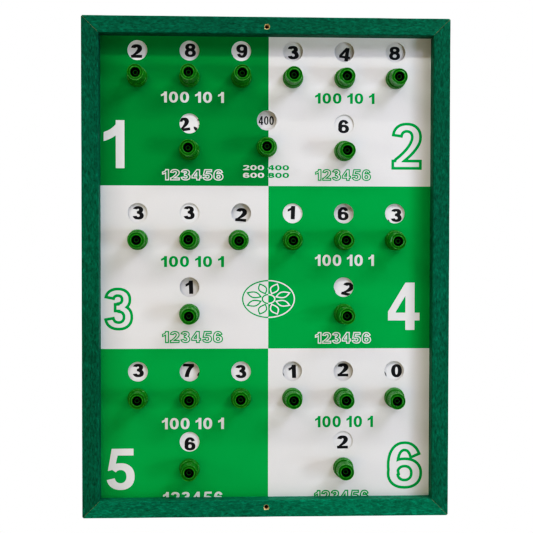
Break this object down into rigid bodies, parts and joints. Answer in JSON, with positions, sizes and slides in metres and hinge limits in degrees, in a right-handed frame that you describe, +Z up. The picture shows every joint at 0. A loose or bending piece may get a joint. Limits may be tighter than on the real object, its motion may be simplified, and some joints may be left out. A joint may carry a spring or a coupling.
{
  "type": "wall scoreboard with number dials",
  "caption": "Wall-hung scoreboard: a mitred stained wooden tray frame with a printed panel, round windows, and knobs that turn number wheels behind them.",
  "frame": {"origin": "midway between the two wall screw holes, on the back face of the board", "axes": "+X to the player's right, +Z up, and the printed front with its knobs faces -Y"},
  "size_m": [0.54, 0.0485, 0.734],
  "materials": {
    "stained_frame": "semi-matt teal green stain over visible open grain",
    "printed_panel": "glossy printed vinyl, green and white fields",
    "back_board": "plain brown hardboard",
    "raw_wood": "sawn softwood",
    "number_wheel": "white with black numbers",
    "knob_plastic": "moulded leaf green, slightly glossy"
  },
  "bodies": {
    "board": {"frame_top": "stained_frame", "frame_bottom": "stained_frame", "frame_left": "stained_frame", "frame_right": "stained_frame", "front_panel": "printed_panel", "back_panel": "back_board", "mounting_blocks": "raw_wood", "spacer_blocks": "raw_wood"},
    "dial_f1_hundreds": {"wheel_f1_hundreds": "number_wheel", "knob_f1_hundreds": "knob_plastic"},
    "dial_f1_tens": {"wheel_f1_tens": "number_wheel", "knob_f1_tens": "knob_plastic"},
    "dial_f1_units": {"wheel_f1_units": "number_wheel", "knob_f1_units": "knob_plastic"},
    "dial_f1_rounds": {"wheel_f1_rounds": "number_wheel", "knob_f1_rounds": "knob_plastic"},
    "dial_f2_hundreds": {"wheel_f2_hundreds": "number_wheel", "knob_f2_hundreds": "knob_plastic"},
    "dial_f2_tens": {"wheel_f2_tens": "number_wheel", "knob_f2_tens": "knob_plastic"},
    "dial_f2_units": {"wheel_f2_units": "number_wheel", "knob_f2_units": "knob_plastic"},
    "dial_f2_rounds": {"wheel_f2_rounds": "number_wheel", "knob_f2_rounds": "knob_plastic"},
    "dial_f3_hundreds": {"wheel_f3_hundreds": "number_wheel", "knob_f3_hundreds": "knob_plastic"},
    "dial_f3_tens": {"wheel_f3_tens": "number_wheel", "knob_f3_tens": "knob_plastic"},
    "dial_f3_units": {"wheel_f3_units": "number_wheel", "knob_f3_units": "knob_plastic"},
    "dial_f3_rounds": {"wheel_f3_rounds": "number_wheel", "knob_f3_rounds": "knob_plastic"},
    "dial_f4_hundreds": {"wheel_f4_hundreds": "number_wheel", "knob_f4_hundreds": "knob_plastic"},
    "dial_f4_tens": {"wheel_f4_tens": "number_wheel", "knob_f4_tens": "knob_plastic"},
    "dial_f4_units": {"wheel_f4_units": "number_wheel", "knob_f4_units": "knob_plastic"},
    "dial_f4_rounds": {"wheel_f4_rounds": "number_wheel", "knob_f4_rounds": "knob_plastic"},
    "dial_f5_hundreds": {"wheel_f5_hundreds": "number_wheel", "knob_f5_hundreds": "knob_plastic"},
    "dial_f5_tens": {"wheel_f5_tens": "number_wheel", "knob_f5_tens": "knob_plastic"},
    "dial_f5_units": {"wheel_f5_units": "number_wheel", "knob_f5_units": "knob_plastic"},
    "dial_f5_rounds": {"wheel_f5_rounds": "number_wheel", "knob_f5_rounds": "knob_plastic"},
    "dial_f6_hundreds": {"wheel_f6_hundreds": "number_wheel", "knob_f6_hundreds": "knob_plastic"},
    "dial_f6_tens": {"wheel_f6_tens": "number_wheel", "knob_f6_tens": "knob_plastic"},
    "dial_f6_units": {"wheel_f6_units": "number_wheel", "knob_f6_units": "knob_plastic"},
    "dial_f6_rounds": {"wheel_f6_rounds": "number_wheel", "knob_f6_rounds": "knob_plastic"},
    "dial_target": {"wheel_target": "number_wheel", "knob_target": "knob_plastic"}
  },
  "joints": [
    {"name": "turn_f1_hundreds", "type": "hinge", "parent": "board", "child": "dial_f1_hundreds", "pos_m": [-0.19045, -0.0175, 0.2814], "axis": [0, -1, 0], "continuous": true},
    {"name": "turn_f1_tens", "type": "hinge", "parent": "board", "child": "dial_f1_tens", "pos_m": [-0.11395, -0.0175, 0.2814], "axis": [0, -1, 0], "continuous": true},
    {"name": "turn_f1_units", "type": "hinge", "parent": "board", "child": "dial_f1_units", "pos_m": [-0.03745, -0.0175, 0.2814], "axis": [0, -1, 0], "continuous": true},
    {"name": "turn_f1_rounds", "type": "hinge", "parent": "board", "child": "dial_f1_rounds", "pos_m": [-0.11395, -0.0175, 0.1742], "axis": [0, -1, 0], "continuous": true},
    {"name": "turn_f2_hundreds", "type": "hinge", "parent": "board", "child": "dial_f2_hundreds", "pos_m": [0.03905, -0.0175, 0.2814], "axis": [0, -1, 0], "continuous": true},
    {"name": "turn_f2_tens", "type": "hinge", "parent": "board", "child": "dial_f2_tens", "pos_m": [0.11555, -0.0175, 0.2814], "axis": [0, -1, 0], "continuous": true},
    {"name": "turn_f2_units", "type": "hinge", "parent": "board", "child": "dial_f2_units", "pos_m": [0.19205, -0.0175, 0.2814], "axis": [0, -1, 0], "continuous": true},
    {"name": "turn_f2_rounds", "type": "hinge", "parent": "board", "child": "dial_f2_rounds", "pos_m": [0.11555, -0.0175, 0.1742], "axis": [0, -1, 0], "continuous": true},
    {"name": "turn_f3_hundreds", "type": "hinge", "parent": "board", "child": "dial_f3_hundreds", "pos_m": [-0.19045, -0.0175, 0.0419], "axis": [0, -1, 0], "continuous": true},
    {"name": "turn_f3_tens", "type": "hinge", "parent": "board", "child": "dial_f3_tens", "pos_m": [-0.11395, -0.0175, 0.0419], "axis": [0, -1, 0], "continuous": true},
    {"name": "turn_f3_units", "type": "hinge", "parent": "board", "child": "dial_f3_units", "pos_m": [-0.04115, -0.0175, 0.0419], "axis": [0, -1, 0], "continuous": true},
    {"name": "turn_f3_rounds", "type": "hinge", "parent": "board", "child": "dial_f3_rounds", "pos_m": [-0.11395, -0.0175, -0.068], "axis": [0, -1, 0], "continuous": true},
    {"name": "turn_f4_hundreds", "type": "hinge", "parent": "board", "child": "dial_f4_hundreds", "pos_m": [0.03905, -0.0175, 0.0419], "axis": [0, -1, 0], "continuous": true},
    {"name": "turn_f4_tens", "type": "hinge", "parent": "board", "child": "dial_f4_tens", "pos_m": [0.11555, -0.0175, 0.0419], "axis": [0, -1, 0], "continuous": true},
    {"name": "turn_f4_units", "type": "hinge", "parent": "board", "child": "dial_f4_units", "pos_m": [0.19205, -0.0175, 0.0419], "axis": [0, -1, 0], "continuous": true},
    {"name": "turn_f4_rounds", "type": "hinge", "parent": "board", "child": "dial_f4_rounds", "pos_m": [0.11555, -0.0175, -0.068], "axis": [0, -1, 0], "continuous": true},
    {"name": "turn_f5_hundreds", "type": "hinge", "parent": "board", "child": "dial_f5_hundreds", "pos_m": [-0.19045, -0.0175, -0.1936], "axis": [0, -1, 0], "continuous": true},
    {"name": "turn_f5_tens", "type": "hinge", "parent": "board", "child": "dial_f5_tens", "pos_m": [-0.11395, -0.0175, -0.1936], "axis": [0, -1, 0], "continuous": true},
    {"name": "turn_f5_units", "type": "hinge", "parent": "board", "child": "dial_f5_units", "pos_m": [-0.03745, -0.0175, -0.1936], "axis": [0, -1, 0], "continuous": true},
    {"name": "turn_f5_rounds", "type": "hinge", "parent": "board", "child": "dial_f5_rounds", "pos_m": [-0.11395, -0.0175, -0.2985], "axis": [0, -1, 0], "continuous": true},
    {"name": "turn_f6_hundreds", "type": "hinge", "parent": "board", "child": "dial_f6_hundreds", "pos_m": [0.03905, -0.0175, -0.1936], "axis": [0, -1, 0], "continuous": true},
    {"name": "turn_f6_tens", "type": "hinge", "parent": "board", "child": "dial_f6_tens", "pos_m": [0.11555, -0.0175, -0.1936], "axis": [0, -1, 0], "continuous": true},
    {"name": "turn_f6_units", "type": "hinge", "parent": "board", "child": "dial_f6_units", "pos_m": [0.19205, -0.0175, -0.1936], "axis": [0, -1, 0], "continuous": true},
    {"name": "turn_f6_rounds", "type": "hinge", "parent": "board", "child": "dial_f6_rounds", "pos_m": [0.11555, -0.0175, -0.2985], "axis": [0, -1, 0], "continuous": true},
    {"name": "turn_target", "type": "hinge", "parent": "board", "child": "dial_target", "pos_m": [0.0005, -0.0175, 0.1794], "axis": [0, -1, 0], "continuous": true}
  ]
}
